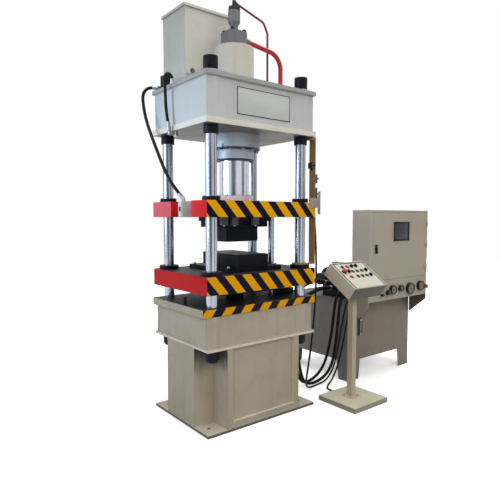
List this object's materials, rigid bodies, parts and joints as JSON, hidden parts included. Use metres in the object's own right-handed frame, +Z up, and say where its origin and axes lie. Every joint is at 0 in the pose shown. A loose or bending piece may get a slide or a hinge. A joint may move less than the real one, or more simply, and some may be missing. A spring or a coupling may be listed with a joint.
{
  "type": "hydraulic press",
  "caption": "Upright hydraulic press with columns, sliding upper and lower platens, dies, top cylinder and tank, joined by hoses to a power station and a tilted console.",
  "frame": {"origin": "centre of the press's base plate, on the underside that stands on the floor", "axes": "+Z up along the columns; +X to the right along the press's front, towards the console and the hydraulic station; -Y is the front, where the operator stands"},
  "size_m": [2.65, 1.289, 3.135],
  "materials": {
    "frame_paint": "semi-gloss cream machine paint",
    "chrome": "hard chrome, ground",
    "black_steel": "blackened steel, lightly oiled",
    "grey_steel": "grey paint on steel",
    "primer": "pinkish primer",
    "red_paint": "semi-gloss red paint",
    "red_pipe": "gloss red paint",
    "yellow_zinc": "yellow zinc plate",
    "grey_sheet": "light grey paint",
    "cabinet_paint": "fine textured beige-grey powder coat",
    "motor_paint": "grey paint on cast iron",
    "black_plastic": "matt black plastic",
    "lamp_plastic": "translucent lamp cap",
    "red_button": "red plastic",
    "green_button": "green plastic",
    "dark_button": "dark plastic",
    "hose_rubber": "matt black hose cover",
    "cable_jacket": "matt dark cable jacket"
  },
  "bodies": {
    "machine": {"pedestal": "frame_paint", "bed_beam": "frame_paint", "table_plate": "frame_paint", "crown": "frame_paint", "columns": "chrome", "column_nuts": "black_steel", "main_cylinder": "frame_paint", "cylinder_rings": "grey_steel", "guide_posts": "chrome", "cushion_cylinder": "grey_steel", "table_stops": "black_steel", "prefill_tank": "frame_paint", "prefill_valve": "grey_steel", "pressure_pipe": "red_pipe", "pilot_pipe": "red_pipe", "switch_bar": "yellow_zinc", "hose_fittings": "grey_steel", "oil_tank": "cabinet_paint", "electric_cabinet": "cabinet_paint", "pressure_gauges": "black_plastic", "pump_motor": "motor_paint", "valve_block": "grey_steel", "console_stand": "cabinet_paint", "control_box": "cabinet_paint", "signal_lamps": "lamp_plastic", "slide_hose": "hose_rubber", "crown_hose": "hose_rubber", "feed_hose": "hose_rubber", "return_hose": "hose_rubber", "floor_hose_a": "hose_rubber", "floor_hose_b": "hose_rubber", "switch_cable": "cable_jacket", "control_cable": "cable_jacket"},
    "slide": {"main_ram": "chrome", "ram_flange": "primer", "slide": "red_paint", "slide_bushes": "black_steel", "upper_die_shoe": "black_steel", "upper_punch": "black_steel", "trip_dog": "primer", "junction_box": "grey_sheet"},
    "lower_platen": {"lower_platen": "red_paint", "platen_bushes": "black_steel", "lower_die": "black_steel", "cushion_ram": "grey_steel"},
    "door": {"cabinet_door": "cabinet_paint"},
    "door_latch": {"door_latch": "black_plastic"},
    "emergency_stop": {"emergency_stop": "red_button"},
    "button_start": {"button_start": "dark_button"},
    "button_pressing": {"button_pressing": "green_button"},
    "button_reset": {"button_reset": "green_button"},
    "button_pump_stop": {"button_pump_stop": "red_button"},
    "button_slide_up": {"button_slide_up": "green_button"},
    "button_slide_down": {"button_slide_down": "green_button"},
    "button_cushion_up": {"button_cushion_up": "dark_button"},
    "selector_mode": {"selector_mode": "black_plastic"},
    "selector_light": {"selector_light": "black_plastic"},
    "selector_pump": {"selector_pump": "black_plastic"},
    "selector_cushion": {"selector_cushion": "black_plastic"},
    "selector_power": {"selector_power": "black_plastic"}
  },
  "joints": [
    {"name": "slide_travel", "type": "slide", "parent": "machine", "child": "slide", "axis": [0, 0, 1], "range_m": [-0.085, 0.25], "deforming": ["slide_hose"]},
    {"name": "platen_travel", "type": "slide", "parent": "machine", "child": "lower_platen", "axis": [0, 0, 1], "range_m": [-0.045, 0]},
    {"name": "door_swing", "type": "hinge", "parent": "machine", "child": "door", "pos_m": [2.049, -0.389, 1.24], "axis": [0, 0, 1], "range_deg": [0, 110]},
    {"name": "latch_turn", "type": "hinge", "parent": "door", "child": "door_latch", "pos_m": [1.262, -0.39, 1.218], "axis": [0, 1, 0], "range_deg": [0, 90]},
    {"name": "emergency_stop_push", "type": "slide", "parent": "machine", "child": "emergency_stop", "axis": [0, 0.5592, -0.829], "range_m": [0, 0.004]},
    {"name": "button_start_push", "type": "slide", "parent": "machine", "child": "button_start", "axis": [0, 0.5592, -0.829], "range_m": [0, 0.004], "stiffness_N_per_m": 500, "springref_m": -0.002},
    {"name": "button_pressing_push", "type": "slide", "parent": "machine", "child": "button_pressing", "axis": [0, 0.5592, -0.829], "range_m": [0, 0.004], "stiffness_N_per_m": 500, "springref_m": -0.002},
    {"name": "button_reset_push", "type": "slide", "parent": "machine", "child": "button_reset", "axis": [0, 0.5592, -0.829], "range_m": [0, 0.004], "stiffness_N_per_m": 500, "springref_m": -0.002},
    {"name": "button_pump_stop_push", "type": "slide", "parent": "machine", "child": "button_pump_stop", "axis": [0, 0.5592, -0.829], "range_m": [0, 0.004], "stiffness_N_per_m": 500, "springref_m": -0.002},
    {"name": "button_slide_up_push", "type": "slide", "parent": "machine", "child": "button_slide_up", "axis": [0, 0.5592, -0.829], "range_m": [0, 0.004], "stiffness_N_per_m": 500, "springref_m": -0.002},
    {"name": "button_slide_down_push", "type": "slide", "parent": "machine", "child": "button_slide_down", "axis": [0, 0.5592, -0.829], "range_m": [0, 0.004], "stiffness_N_per_m": 500, "springref_m": -0.002},
    {"name": "button_cushion_up_push", "type": "slide", "parent": "machine", "child": "button_cushion_up", "axis": [0, 0.5592, -0.829], "range_m": [0, 0.004], "stiffness_N_per_m": 500, "springref_m": -0.002},
    {"name": "selector_mode_turn", "type": "hinge", "parent": "machine", "child": "selector_mode", "pos_m": [0.81, -0.49148, 1.10595], "axis": [0, -0.5592, 0.829], "range_deg": [-45, 45]},
    {"name": "selector_light_turn", "type": "hinge", "parent": "machine", "child": "selector_light", "pos_m": [0.86, -0.49148, 1.10595], "axis": [0, -0.5592, 0.829], "range_deg": [-45, 45]},
    {"name": "selector_pump_turn", "type": "hinge", "parent": "machine", "child": "selector_pump", "pos_m": [0.722, -0.5404, 1.07296], "axis": [0, -0.5592, 0.829], "range_deg": [-45, 45]},
    {"name": "selector_cushion_turn", "type": "hinge", "parent": "machine", "child": "selector_cushion", "pos_m": [0.93, -0.5404, 1.07296], "axis": [0, -0.5592, 0.829], "range_deg": [-45, 45]},
    {"name": "selector_power_turn", "type": "hinge", "parent": "machine", "child": "selector_power", "pos_m": [0.932, -0.59014, 1.0394], "axis": [0, -0.5592, 0.829], "range_deg": [-45, 45]}
  ]
}
